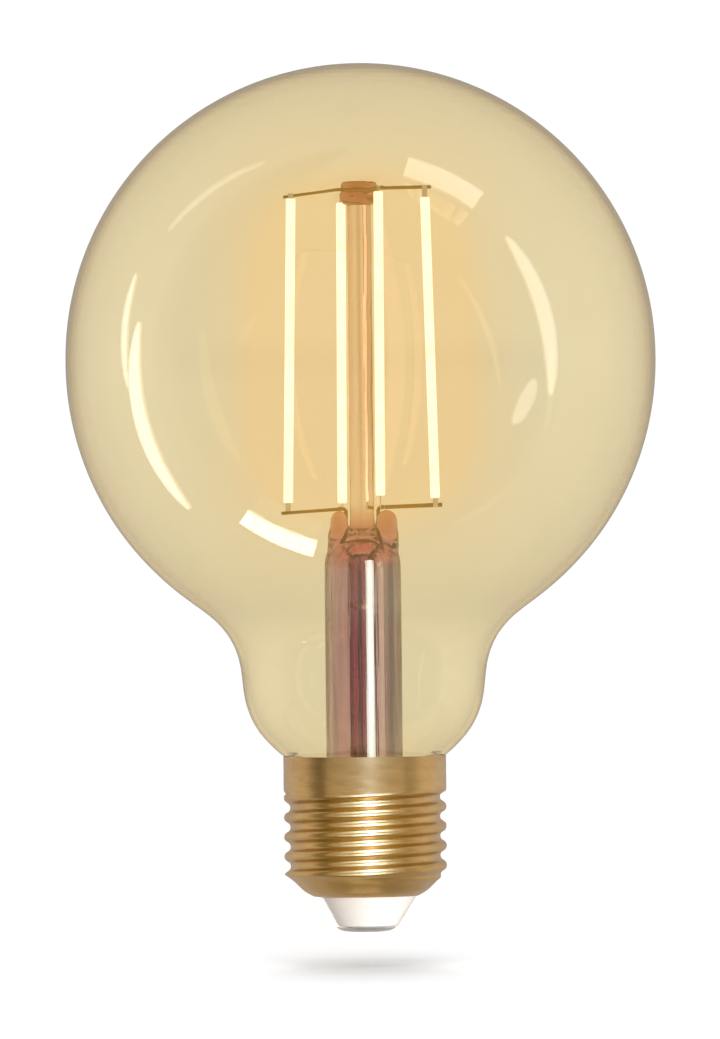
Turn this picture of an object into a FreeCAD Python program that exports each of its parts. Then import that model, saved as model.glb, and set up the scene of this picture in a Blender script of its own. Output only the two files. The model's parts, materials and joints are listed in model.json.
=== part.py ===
import FreeCAD, Part
import math
import os

from FreeCAD import Vector as V

# Globe bulb on a medium screw cap. Millimetres, +Z up along the bulb axis,
# z = 0 at the bottom of the centre contact, -Y is the front.

# ---- envelope
GLOBE_R = 47.5            # outside radius of the sphere
GLOBE_Z = 92.3            # height of the upper half's centre
BELT = 0.5                # straight belt between the two halves of the sphere
WALL = 0.8                # glass wall
NECK_R = 19.55            # outside radius of the straight part of the neck
NECK_Z0 = 40.0            # bottom of the straight part
NECK_Z1 = 41.0            # top of the straight part
BOWL_R = 13.5             # rounded underside of the neck
COLLAR_R = 11.6           # outside radius of the collar inside the cap
COLLAR_FILLET = 1.5
SEAL_Z = 24.2             # where the collar is sealed to the stem flare
CEMENT_TOP = 28.1         # top of the cement ring between collar and cap

# ---- stem
STEM_R = 6.15
STEM_WALL = 1.1
FLARE_TOP = 28.2
FLARE_R = 3.2
FLARE_DEG = 70.0
FLARE_BOTTOM = 23.1
TUBE_TOP = 57.0           # round tube changes to the flattened pinch here
PINCH_TOP = 64.9          # top of the web between the two lobes
LOBES = (                 # x of the middle, half width, half depth, top
    (-3.70, 1.42, 2.15, 67.75),
    (3.92, 1.72, 2.25, 67.85),
)
LOBE_FOOT = 61.2
EXHAUST_R = 2.25
EXHAUST_BORE = 1.4
EXHAUST_TOP = 61.0
EXHAUST_TIP = 25.5
BLOW_HOLE_R = 0.8
BLOW_HOLE_Z = 59.7
BLOW_HOLE_DEG = 60.0

# ---- centre rod and button
ROD_R = 1.95
ROD_FOOT = 63.3
ROD_FOOT_R = 2.02
BUTTON_TOP = 121.2

# ---- filaments, axis points at the top and the bottom end of the coated rod
FIL_R = 0.75
FIL = {
    "left": ((-10.95, -2.95, 118.0), (-11.86, -3.10, 69.1)),
    "right": ((10.65, 2.90, 118.2), (11.83, 3.10, 69.6)),
    "back": ((-2.94, 10.80, 117.7), (-3.20, 11.80, 68.95)),
    "front": ((3.10, -10.80, 118.8), (2.95, -11.80, 70.2)),
}
TAB_W, TAB_T, TAB_IN = 0.8, 0.2, 1.2
TAB_OUT = {               # bare length beyond the coating, top and bottom
    "left": (0.85, 1.85),
    "right": (1.95, 1.35),
    "back": (1.6, 1.05),
    "front": (0.95, 2.05),
}
TOP_WIRE_R = 0.25
LEAD_R = 0.30
BRANCH_R = 0.25
GAP = 0.004               # weld line between a tab and its wire
LEAD_STEM = (1.05, -3.05)  # right lead inside the stem tube; the left one is opposite
LEAD_PINCH_X = 2.6        # leads at the top of the pinch
SLEEVE_R = 0.68
SLEEVE_Z = (21.9, 59.7)
CARRIER = {               # start point and radius of the wire under each filament
    "left": ((-LEAD_PINCH_X, 0.0), LEAD_R),
    "right": ((LEAD_PINCH_X, 0.0), LEAD_R),
    "back": ((-3.55, -0.3), BRANCH_R),
    "front": ((3.55, 0.3), BRANCH_R),
}

# ---- screw cap, 27 mm class
CREST_R = 13.1
ROOT_R = 12.08
PITCH = 3.15
SHEET = 0.25
RIM_Z = 28.3
SKIRT_Z = 22.9            # bottom of the plain skirt
LIP_Z = 5.7
CREST_Z_LEFT = 21.62      # height of the first crest on the -X side
SHOULDER = [(5.7, 8.3), (5.95, 8.85), (6.55, 9.85), (7.45, 10.85), (8.2, 11.6),
            (8.75, 12.3), (9.2, 13.0), (9.65, 13.8), (10.4, 15.0), (30.0, 40.0)]
THREAD_COLS = 36
THREAD_ROWS = 84

# ---- insulator and contact
CONE_R0, CONE_Z0 = 5.3, 0.9
CONE_R1 = 8.05
PLATE_R = 4.75
PLATE_FLAT_R = 2.2
RIVET_R = 0.85
RIVET_TOP = 5.2

# ---- driver
BOARD = (-8.5, 0.36, 8.6, 17.0, 1.0, 10.8)   # x, y, z, width, thickness, height
PAD_X, PAD_Z = 3.0, 18.2                     # solder pads of the two leads
PAD_GAP = LEAD_R + 0.06

OUT = "parts"
os.makedirs(OUT, exist_ok=True)


def save(name, shape):
    if isinstance(shape, (list, tuple)):
        shape = Part.makeCompound(list(shape))
    shape.exportStep(os.path.join(OUT, name + ".step"))


def one(shape):
    solids = shape.Solids
    return max(solids, key=lambda s: s.Volume)


def line(a, b):
    return Part.LineSegment(V(a[0], 0, a[1]), V(b[0], 0, b[1])).toShape()


def arc(c, r, a0, a1):
    """Arc in the XZ plane, angles in degrees from +X toward +Z."""
    p = []
    for a in (a0, 0.5 * (a0 + a1), a1):
        t = math.radians(a)
        p.append(V(c[0] + r * math.cos(t), 0, c[1] + r * math.sin(t)))
    return Part.Arc(p[0], p[1], p[2]).toShape()


def curve(points):
    bs = Part.BSplineCurve()
    bs.interpolate([V(p[0], 0, p[1]) for p in points])
    return bs.toShape()


def turn(edges):
    face = Part.Face(Part.Wire(edges))
    solid = face.revolve(V(0, 0, 0), V(0, 0, 1), 360)
    return solid.Solids[0] if solid.Solids else solid


def tube(r0, r1, z0, z1):
    return turn([line((r0, z0), (r1, z0)), line((r1, z0), (r1, z1)),
                 line((r1, z1), (r0, z1)), line((r0, z1), (r0, z0))])


def wire_path(points, radius):
    """Straight runs joined by tangent bends."""
    pts = [V(*p) for p in points]
    edges = []
    start = pts[0]
    for i in range(1, len(pts) - 1):
        a, b, c = pts[i - 1], pts[i], pts[i + 1]
        u = (a - b)
        w = (c - b)
        lu, lw = u.Length, w.Length
        u.normalize()
        w.normalize()
        ang = u.getAngle(w)
        if abs(math.pi - ang) < 1e-4:
            continue
        reach = min(radius / math.tan(ang / 2), 0.45 * lu, 0.45 * lw)
        r = reach * math.tan(ang / 2)
        p0 = b + u * reach
        p1 = b + w * reach
        bis = (u + w)
        bis.normalize()
        centre = b + bis * (r / math.sin(ang / 2))
        mid = centre - bis * r
        if (p0 - start).Length > 1e-6:
            edges.append(Part.LineSegment(start, p0).toShape())
        edges.append(Part.Arc(p0, mid, p1).toShape())
        start = p1
    edges.append(Part.LineSegment(start, pts[-1]).toShape())
    return Part.Wire(edges)


def round_wire(points, r, bend):
    path = wire_path(points, bend)
    p0 = V(*points[0])
    d = V(*points[1]) - p0
    ring = Part.Wire([Part.makeCircle(r, p0, d)])
    return one(path.makePipeShell([ring], True, False))


def placed(shape, a, b, side):
    """Carry a shape drawn along +Z from the origin onto the line a to b."""
    a, b = V(*a), V(*b)
    z = b - a
    z.normalize()
    x = V(*side)
    x = x - z * x.dot(z)
    x.normalize()
    y = z.cross(x)
    m = FreeCAD.Matrix(x.x, y.x, z.x, a.x, x.y, y.y, z.y, a.y, x.z, y.z, z.z, a.z,
                       0, 0, 0, 1)
    return shape.transformed(m)


def block(x, y, z, w, d, h):
    return Part.makeBox(w, d, h, V(x, y, z))


# ------------------------------------------------------------------ envelope
def envelope():
    bowl_c = (NECK_R - BOWL_R, NECK_Z0)
    # concave shoulder between sphere and neck, tangent to both
    low = GLOBE_Z - BELT
    k = low - NECK_Z1
    fr = (NECK_R ** 2 + k ** 2 - GLOBE_R ** 2) / (2 * (GLOBE_R - NECK_R))
    fc = (NECK_R + fr, NECK_Z1)
    a_s = math.degrees(math.atan2(fc[1] - low, fc[0]))
    a_f = a_s + 180.0
    # collar fillet, tangent to the bowl and the collar
    cf = COLLAR_FILLET
    cx = COLLAR_R + cf
    dz = math.sqrt((BOWL_R + cf) ** 2 - (cx - bowl_c[0]) ** 2)
    cc = (cx, bowl_c[1] - dz)
    a_b = math.degrees(math.atan2(cc[1] - bowl_c[1], cc[0] - bowl_c[0]))

    def side(t):
        rs, rf, rb, rc = GLOBE_R - t, fr + t, BOWL_R - t, cf + t
        top = (0, GLOBE_Z + rs)
        e = [arc((0, GLOBE_Z), rs, 90, 0),
             line((rs, GLOBE_Z), (rs, low)),
             arc((0, low), rs, 0, a_s),
             arc(fc, rf, a_f, 180.0),
             line((NECK_R - t, NECK_Z1), (NECK_R - t, NECK_Z0)),
             arc(bowl_c, rb, 0, a_b),
             arc(cc, rc, a_b + 180.0, 180.0),
             line((COLLAR_R - t, cc[1]), (COLLAR_R - t, SEAL_Z))]
        return top, e

    top_o, outer = side(0.0)
    top_i, inner = side(WALL)
    edges = outer + [line((COLLAR_R, SEAL_Z), (COLLAR_R - WALL, SEAL_Z))]
    edges += list(reversed(inner)) + [line(top_i, top_o)]
    # cement round the collar, up to just under the rim of the cap
    rise = CEMENT_TOP - cc[1]
    a_c = 180.0 - math.degrees(math.asin(rise / cf))
    edge = (cc[0] + cf * math.cos(math.radians(a_c)), CEMENT_TOP)
    bore = CREST_R - SHEET
    ring = [line((COLLAR_R, SEAL_Z + 0.1), (bore, SEAL_Z + 0.1)),
            line((bore, SEAL_Z + 0.1), (bore, CEMENT_TOP)),
            line((bore, CEMENT_TOP), edge),
            arc(cc, cf, a_c, 180.0),
            line((COLLAR_R, cc[1]), (COLLAR_R, SEAL_Z + 0.1))]
    return turn(edges), turn(ring)


# ---------------------------------------------------------------------- stem
def ring_section(a, b, n, z, count=40):
    pts = []
    for i in range(count):
        t = 2 * math.pi * i / count
        c, s = math.cos(t), math.sin(t)
        pts.append(V(a * math.copysign(abs(c) ** (2.0 / n), c),
                     b * math.copysign(abs(s) ** (2.0 / n), s), z))
    bs = Part.BSplineCurve()
    bs.interpolate(pts, True)
    return Part.Wire([bs.toShape()])


def lobe(x, w, d, top):
    """Rounded ear of the pinch: oval across, domed on top."""
    rows = [(1.0, LOBE_FOOT), (1.0, top - 2.4), (0.985, top - 1.7), (0.93, top - 1.1),
            (0.82, top - 0.6), (0.62, top - 0.22), (0.34, top - 0.04)]
    rings = []
    for k, z in rows:
        ring = ring_section(w * k, d * k, 2.0, z, 24)
        ring.translate(V(x, 0, 0))
        rings.append(ring)
    return Part.makeLoft(rings, True, False)


def stem_body():
    ri = STEM_R - STEM_WALL
    c = (STEM_R + FLARE_R, FLARE_TOP)
    f = math.radians(FLARE_DEG)
    ro = FLARE_R + STEM_WALL
    go = (c[0] - FLARE_R * math.cos(f), c[1] - FLARE_R * math.sin(f))
    gi = (c[0] - ro * math.cos(f), c[1] - ro * math.sin(f))
    end_i = (gi[0] + (gi[1] - FLARE_BOTTOM) * math.tan(f), FLARE_BOTTOM)
    edges = [line((STEM_R, TUBE_TOP), (STEM_R, FLARE_TOP)),
             arc(c, FLARE_R, 180, 180 + FLARE_DEG),
             line(go, (COLLAR_R - WALL, SEAL_Z)),
             line((COLLAR_R - WALL, SEAL_Z), (COLLAR_R, SEAL_Z)),
             line((COLLAR_R, SEAL_Z), (COLLAR_R, FLARE_BOTTOM)),
             line((COLLAR_R, FLARE_BOTTOM), end_i),
             line(end_i, gi),
             arc(c, ro, 180 + FLARE_DEG, 180),
             line((ri, FLARE_TOP), (ri, TUBE_TOP)),
             line((ri, TUBE_TOP), (STEM_R, TUBE_TOP))]
    tube_part = turn(edges)
    step = 0.02
    outer = [(STEM_R - step, STEM_R - step, 2.0, TUBE_TOP),
             (6.10, 6.00, 2.0, 58.4), (5.95, 5.10, 2.1, 59.9),
             (5.62, 3.60, 2.4, 61.3), (5.42, 2.70, 2.8, 62.6),
             (5.30, 2.36, 2.6, 63.9), (4.60, 1.95, 2.2, PINCH_TOP)]
    hollow = [(ri + step, ri + step, 2.0, TUBE_TOP),
              (4.98, 4.90, 2.0, 58.6), (4.75, 4.15, 2.0, 59.9),
              (4.15, 2.60, 2.1, 60.9), (3.20, 1.00, 2.3, 61.8)]
    body = Part.makeLoft([ring_section(*s) for s in outer], True, False)
    cave = Part.makeLoft([ring_section(*s) for s in hollow], True, False)
    pinch = body.cut(cave)
    for x, w, d, top in LOBES:
        pinch = one(pinch.fuse(lobe(x, w, d, top)))
    return one(tube_part.fuse(one(pinch)))


def exhaust():
    r, b = EXHAUST_R, EXHAUST_BORE
    z = EXHAUST_TIP
    e = [line((b, EXHAUST_TOP), (r, EXHAUST_TOP)),
         line((r, EXHAUST_TOP), (r, z + 4.0)),
         curve([(r, z + 4.0), (r - 0.25, z + 2.6), (r - 1.05, z + 1.2), (0.45, z + 0.35),
                (0.0, z)]),
         line((0, z), (0, z + 1.6)),
         curve([(0, z + 1.6), (0.35, z + 2.2), (b - 0.35, z + 3.6), (b, z + 5.2)]),
         line((b, z + 5.2), (b, EXHAUST_TOP))]
    return turn(e)


def rod():
    r = ROD_R
    e = [line((0, ROD_FOOT), (ROD_FOOT_R, ROD_FOOT)),
         line((ROD_FOOT_R, ROD_FOOT), (ROD_FOOT_R, 68.0)),
         line((ROD_FOOT_R, 68.0), (r, 69.0)),
         line((r, 69.0), (r, 116.9)),
         curve([(r, 116.9), (2.1, 117.35), (2.55, 117.65), (2.95, 118.05), (3.05, 118.6),
                (2.95, 119.15), (2.92, 119.5), (3.05, 119.85), (3.15, 120.3),
                (3.0, 120.85), (2.5, 121.13), (1.6, BUTTON_TOP)]),
         line((1.6, BUTTON_TOP), (0, BUTTON_TOP)),
         line((0, BUTTON_TOP), (0, ROD_FOOT))]
    return turn(e)


# ------------------------------------------------------------- filament set
def filaments():
    coats, tabs = {}, []
    for name, (top, bottom) in FIL.items():
        a, b = V(*bottom), V(*top)
        length = (b - a).Length
        radial = (b.x, b.y, 0)
        carried = passing(*CARRIER[name], bottom)[0]
        up, down = TAB_OUT[name]
        coat = Part.makeCylinder(FIL_R, length)
        coat = coat.makeChamfer(0.15, [e for e in coat.Edges
                                       if isinstance(e.Curve, Part.Circle)])
        lower = block(-TAB_W / 2, -TAB_T / 2, -down, TAB_W, TAB_T, down + TAB_IN)
        upper = block(-TAB_W / 2, -TAB_T / 2, length - TAB_IN, TAB_W, TAB_T, up + TAB_IN)
        # the flat of each tab lies along the wire that carries it
        lower = placed(lower, bottom, top, (carried.x, carried.y, 0))
        upper = placed(upper, bottom, top, radial)
        coat = placed(coat, bottom, top, radial)
        coats[name] = one(coat.cut(lower).cut(upper))
        tabs += [lower, upper]
    return coats, tabs


def passing(start, r, p):
    """Direction of a level wire from start that runs past p, touching the tab there."""
    d = V(p[0] - start[0], p[1] - start[1], 0)
    far = d.Length
    swing = math.asin((r + TAB_T / 2 + GAP) / far)
    c, s = math.cos(swing), math.sin(swing)
    d = V(d.x * c - d.y * s, d.x * s + d.y * c, 0)
    d.normalize()
    return d, far


def beside(p, q, off):
    """Shift of a radial wire so that it runs beside the tabs on the line p to q."""
    d = V(q[0] - p[0], q[1] - p[1], 0)
    d.normalize()
    return V(-d.y, d.x, 0) * off


def along(name, end, beyond, z):
    """A point past a filament end, on the radial line through it."""
    p = FIL[name][end]
    r = math.hypot(p[0], p[1])
    k = (r + beyond) / r
    return V(p[0] * k, p[1] * k, z)


def top_wires():
    off = TOP_WIRE_R + TAB_T / 2 + 3 * GAP
    out = {}
    for key, (n0, n1, zs) in {
        "side": ("left", "right", (118.25, 119.45, 119.62, 119.72, 119.88)),
        "depth": ("back", "front", (118.95, 118.85, 118.80, 118.90, 119.45)),
    }.items():
        a, b = along(n0, 0, 1.1, zs[0]), along(n1, 0, 1.1, zs[4])
        s = beside(a, b, off)
        pa, pb = V(a.x * 0.3, a.y * 0.3, zs[1]), V(b.x * 0.3, b.y * 0.3, zs[3])
        pts = [p + s for p in (a, pa, V(0, 0, zs[2]), pb, b)]
        out[key] = round_wire([(p.x, p.y, p.z) for p in pts], TOP_WIRE_R, 6.0)
    return out


def leads():
    out = {}
    for name, sgn, z0, z1 in (("left", -1, 68.15, 67.45), ("right", 1, 68.30, 68.60)):
        start, r = CARRIER[name]
        d, far = passing(start, r, FIL[name][1])
        end = V(start[0], start[1], 0) + d * (far + 1.25)
        x0 = sgn * LEAD_PINCH_X
        sx, sy = sgn * LEAD_STEM[0], sgn * LEAD_STEM[1]
        py = BOARD[1] - PAD_GAP if sgn > 0 else BOARD[1] + BOARD[4] + PAD_GAP
        pts = [(sgn * PAD_X, py, PAD_Z - 1.2), (sgn * PAD_X, py, PAD_Z + 1.0),
               (sx, sy, SLEEVE_Z[0] - 0.4), (sx, sy, 60.1),
               (sgn * 2.9, -sgn * 1.25, 61.9), (x0, 0, 64.0),
               (x0, 0, z0), (end.x, end.y, z1)]
        out[name] = round_wire(pts, LEAD_R, 0.55)
    return out


def branches(lead):
    out = {}
    for name, side, zs, z1 in (("back", "left", 68.10, 68.25),
                               ("front", "right", 68.31, 68.45)):
        start, r = CARRIER[name]
        d, far = passing(start, r, FIL[name][1])
        end = V(start[0], start[1], 0) + d * (far + 0.9)
        w = round_wire([(start[0], start[1], zs), (end.x, end.y, z1)], BRANCH_R, 1.0)
        out[name] = one(w.cut(lead[side]))
    return out


# -------------------------------------------------------------------- cap
def lerp_smooth(table, z):
    """Monotone cubic through a table of (z, r)."""
    n = len(table)
    if z <= table[0][0]:
        return table[0][1]
    if z >= table[-1][0]:
        return table[-1][1]
    d = [(table[i + 1][1] - table[i][1]) / (table[i + 1][0] - table[i][0])
         for i in range(n - 1)]
    m = [d[0]] + [2 * d[i - 1] * d[i] / (d[i - 1] + d[i]) if d[i - 1] * d[i] > 0 else 0.0
                  for i in range(1, n - 1)] + [d[-1]]
    for i in range(n - 1):
        z0, r0 = table[i]
        z1, r1 = table[i + 1]
        if z <= z1:
            h = z1 - z0
            t = (z - z0) / h
            return ((2 * t ** 3 - 3 * t ** 2 + 1) * r0 + (t ** 3 - 2 * t ** 2 + t) * h * m[i]
                    + (-2 * t ** 3 + 3 * t ** 2) * r1 + (t ** 3 - t ** 2) * h * m[i + 1])


DEPTH = CREST_R - ROOT_R
HALF = math.atan(DEPTH / (PITCH / 2))
KNUCKLE = PITCH / (4 * math.sin(2 * HALF))


def thread_r(theta, z):
    crest = CREST_Z_LEFT + PITCH * (theta - math.pi) / (2 * math.pi)
    t = (z - crest) / PITCH
    t = (t - math.floor(t + 0.5)) * PITCH
    t = abs(t)
    if t <= PITCH / 4:
        return CREST_R - (KNUCKLE - math.sqrt(KNUCKLE ** 2 - t * t))
    u = PITCH / 2 - t
    return ROOT_R + (KNUCKLE - math.sqrt(KNUCKLE ** 2 - u * u))


def blend(a, b, k, sign):
    """Rounded minimum (sign 1) or maximum (sign -1) of two heights."""
    h = max(k - abs(a - b), 0.0) / k
    e = sign * h * h * k / 4
    return (min(a, b) if sign > 0 else max(a, b)) - e


SKIRT_STEP = 0.02


def outer_r(theta, z):
    skirt_r = CREST_R - SKIRT_STEP
    t = min(max((z - (SKIRT_Z - 1.25)) / 1.1, 0.0), 1.0)
    step = ROOT_R - 0.3 + (skirt_r - ROOT_R + 0.3) * (t * t * (3 - 2 * t))
    r = thread_r(theta, z) - SKIRT_STEP
    r = min(blend(r, step, 0.2, -1), skirt_r)
    return blend(r, lerp_smooth(SHOULDER, z), 0.25, 1)


def inner_r(theta, z):
    best = None
    for i in range(-10, 11):
        d = SHEET * i / 10.0
        zz = z + d
        if zz < LIP_Z or zz > SKIRT_Z:
            continue
        v = outer_r(theta, zz) - math.sqrt(max(SHEET ** 2 - d * d, 0.0))
        best = v if best is None else min(best, v)
    return best


def solve(a, b):
    """Gaussian elimination with row pivots; b has one column per unknown set."""
    n = len(a)
    a = [row[:] for row in a]
    b = [row[:] for row in b]
    for i in range(n):
        p = max(range(i, n), key=lambda k: abs(a[k][i]))
        a[i], a[p] = a[p], a[i]
        b[i], b[p] = b[p], b[i]
        for k in range(i + 1, n):
            f = a[k][i] / a[i][i]
            if f == 0.0:
                continue
            for j in range(i, n):
                a[k][j] -= f * a[i][j]
            for j in range(len(b[k])):
                b[k][j] -= f * b[i][j]
    for i in reversed(range(n)):
        for j in range(len(b[i])):
            s = b[i][j] - sum(a[i][k] * b[k][j] for k in range(i + 1, n))
            b[i][j] = s / a[i][i]
    return b


def basis(knots, i, p, t):
    if p == 0:
        last = t >= knots[-1] and knots[i] < knots[i + 1] == knots[-1]
        return 1.0 if knots[i] <= t < knots[i + 1] or last else 0.0
    out = 0.0
    if knots[i + p] > knots[i]:
        out += (t - knots[i]) / (knots[i + p] - knots[i]) * basis(knots, i, p - 1, t)
    if knots[i + p + 1] > knots[i + 1]:
        out += ((knots[i + p + 1] - t) / (knots[i + p + 1] - knots[i + 1])
                * basis(knots, i + 1, p - 1, t))
    return out


def wall_face(radius, z0, z1, rows):
    """Closed wall around the axis, round the turn periodic, exact at the grid points."""
    cols = THREAD_COLS
    spans = rows - 3
    # rows are packed toward the lip, where the shoulder turns in
    raw = [(i / spans) for i in range(spans + 1)]
    knots1 = [z0 + (z1 - z0) * (0.55 * q + 0.45 * q * q) for q in raw]
    full = [knots1[0]] * 3 + knots1 + [knots1[-1]] * 3
    sites = [sum(full[i + 1:i + 4]) / 3.0 for i in range(rows)]
    a = [[basis(full, j, 3, s) for j in range(rows)] for s in sites]
    data = []
    for s in sites:
        row = []
        for c in range(cols):
            th = 2 * math.pi * c / cols
            r = radius(th, s)
            row += [r * math.cos(th), r * math.sin(th)]
        data.append(row)
    rowpoles = solve(a, data)
    # round the turn: one circulant set of equations
    circ = [[0.0] * cols for _ in range(cols)]
    for i in range(cols):
        circ[i][i] += 4 / 6.0
        circ[i][(i + 1) % cols] += 1 / 6.0
        circ[i][(i - 1) % cols] += 1 / 6.0
    rhs = [[rowpoles[k][2 * c + j] for k in range(rows) for j in (0, 1)]
           for c in range(cols)]
    sol = solve(circ, rhs)
    poles = [[V(sol[c][2 * k], sol[c][2 * k + 1], sites[k]) for k in range(rows)]
             for c in range(cols)]
    surf = Part.BSplineSurface()
    surf.buildFromPolesMultsKnots(
        poles, [1] * (cols + 1), [4] + [1] * (spans - 1) + [4],
        [float(i) for i in range(cols + 1)], knots1, True, False, 3, 3)
    return surf.toShape()


def ring_at(face, z):
    for e in face.Edges:
        b = e.BoundBox
        if b.ZLength < 1e-6 and abs(b.ZMin - z) < 1e-6:
            return Part.Wire([e])


def shell():
    out = wall_face(outer_r, LIP_Z, SKIRT_Z, THREAD_ROWS)
    inn = wall_face(inner_r, LIP_Z, SKIRT_Z, THREAD_ROWS)
    caps = []
    for z in (LIP_Z, SKIRT_Z):
        big = Part.Face(ring_at(out, z))
        small = Part.Face(ring_at(inn, z))
        caps.append(big.cut(small).Faces[0])
    sh = Part.makeShell([out, inn] + caps)
    sh.sewShape()
    threaded = Part.Solid(sh)
    if threaded.Volume < 0:
        threaded.reverse()
    skirt = tube(CREST_R - SHEET, CREST_R, SKIRT_Z, RIM_Z)
    return one(threaded.fuse(skirt)), threaded


def insulator():
    zs = [LIP_Z + 0.15 + 0.2 * i for i in range(9)]
    seat = [(inner_r(0.0, z) - 0.1, z) for z in zs]
    top_r, top_z = seat[-1]
    e = [line((0.9, CONE_Z0), (CONE_R0 - 0.4, CONE_Z0)),
         arc((CONE_R0 - 0.4, CONE_Z0 + 0.4), 0.4, -90, -30),
         ]
    p = e[-1].Vertexes[-1].Point
    q = e[-1].Vertexes[0].Point
    tip = p if p.z > q.z else q
    e += [line((tip.x, tip.z), (CONE_R1, LIP_Z - 0.1)),
          line((CONE_R1, LIP_Z - 0.1), seat[0]),
          curve(seat),
          line(seat[-1], (top_r - 0.2, top_z + 0.2)),
          line((top_r - 0.2, top_z + 0.2), (7.6, top_z + 0.2)),
          line((7.6, top_z + 0.2), (5.2, RIVET_TOP - 0.9)),
          line((5.2, RIVET_TOP - 0.9), (0.9, RIVET_TOP - 0.9)),
          line((0.9, RIVET_TOP - 0.9), (0.9, CONE_Z0))]
    return turn(e)


def contact():
    f = PLATE_FLAT_R
    e = [line((0, 0), (f, 0)),
         curve([(f, 0), (3.3, 0.09), (4.2, 0.32), (PLATE_R, 0.68)]),
         line((PLATE_R, 0.68), (PLATE_R, CONE_Z0)),
         line((PLATE_R, CONE_Z0), (RIVET_R, CONE_Z0)),
         line((RIVET_R, CONE_Z0), (RIVET_R, RIVET_TOP)),
         line((RIVET_R, RIVET_TOP), (0.32, RIVET_TOP)),
         line((0.32, RIVET_TOP), (0.32, 0.6)),
         line((0.32, 0.6), (0, 0.6)),
         line((0, 0.6), (0, 0))]
    return turn(e)


# ------------------------------------------------------------------- driver
def driver():
    x, y, z, w, t, h = BOARD
    yf, yb = y, y + t
    parts = {}
    board = block(x, y, z, w, t, h)
    board = board.makeFillet(0.8, [e for e in board.Edges
                                   if abs(e.BoundBox.YLength - t) < 1e-6
                                   and e.BoundBox.XLength < 1e-6
                                   and e.BoundBox.ZLength < 1e-6])
    cap = Part.makeCylinder(3.15, 8.0, V(-4.4, yf, 13.2), V(0, -1, 0))
    groove = Part.makeTorus(3.35, 0.35, V(-4.4, yf - 1.3, 13.2), V(0, 1, 0))
    cap = one(cap.cut(groove))
    cap = cap.makeFillet(0.35, [e for e in cap.Edges if isinstance(e.Curve, Part.Circle)
                                and abs(e.Curve.Center.y - (yf - 8.0)) < 1e-6
                                and abs(e.Curve.Radius - 3.15) < 1e-6])
    vent_y = yf - 8.0
    for ang in (0.0, 90.0):
        cut = block(-2.4, -0.1, -0.12, 4.8, 0.3, 0.24)
        cut.rotate(V(0, 0, 0), V(0, 1, 0), ang)
        cut.translate(V(-4.4, vent_y, 13.2))
        cap = one(cap.cut(cut))
    parts["smoothing_capacitor"] = cap
    d = []
    for r, y0, y1 in ((3.0, 0.0, 1.0), (1.9, 1.0, 5.0), (3.0, 5.0, 6.0)):
        d.append(Part.makeCylinder(r, y1 - y0, V(4.4, yf - y0, 13.2), V(0, -1, 0)))
    core = d[0].fuse([d[1], d[2]]).removeSplitter()
    turns = [Part.makeTorus(2.25, 0.34, V(4.4, yf - 1.42 - 0.72 * i, 13.2), V(0, 1, 0))
             for i in range(5)]
    coil = core
    for g in turns:
        coil = coil.fuse(g)
    parts["choke_coil"] = one(coil.removeSplitter())

    def chip(cx, cz, bw, bh, tall, legs, pitch, leg_x):
        """Moulded package on the back of the board with gull legs on two sides."""
        b = block(cx - bw / 2, yb + 0.1, cz - bh / 2, bw, tall, bh)
        b = b.makeChamfer(0.25, [e for e in b.Edges
                                 if abs(e.BoundBox.YMin - (yb + 0.1 + tall)) < 1e-6
                                 and e.BoundBox.YLength < 1e-6])
        for s in (-1, 1):
            for i in range(legs):
                lz = cz + (i - (legs - 1) / 2.0) * pitch
                x0 = cx + s * bw / 2
                foot = block(min(x0 - s * 0.2, x0 + s * leg_x), yb, lz - 0.22,
                             leg_x + 0.2, 0.25, 0.44)
                knee = block(min(x0 - s * 0.2, x0 + s * 0.35), yb, lz - 0.22, 0.55, 0.8,
                             0.44)
                b = b.fuse([foot, knee])
        return one(b.removeSplitter())

    parts["bridge_rectifier"] = chip(-4.3, 14.0, 3.9, 4.6, 1.5, 2, 2.5, 0.9)
    parts["driver_chip"] = chip(4.2, 14.2, 3.9, 4.9, 1.5, 4, 1.27, 0.9)
    res = []
    for cx in (-5.6, -2.9, 3.4):
        res.append(block(cx - 1.0, yb, 9.1, 2.0, 0.5, 1.25))
    parts["chip_resistors"] = res
    # through-hole legs of the two tall pieces share the board holes
    body = Part.makeCylinder(1.25, 6.2, V(0, 5.2, 9.9))
    body = body.makeFillet(0.45, [e for e in body.Edges if isinstance(e.Curve, Part.Circle)])
    parts["fuse_resistor"] = body
    low = round_wire([(0, 5.2, 9.9), (0, 5.2, 7.6), (0, 0, 6.9), (0, 0, 0.75)], 0.28, 0.9)
    high = round_wire([(0, 5.2, 16.1), (0, 5.2, 17.7), (0, yb, 17.7)], 0.28, 0.9)
    parts["fuse_leads"] = [low, high]
    parts["neutral_wire"] = round_wire([(-7.6, yf - 0.31, 15.0), (-7.6, yf - 0.31, 22.62),
                                        (-12.57, yf - 0.31, 22.62),
                                        (-12.57, yf - 0.31, 24.4)], 0.25, 0.55)
    return board, parts


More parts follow.
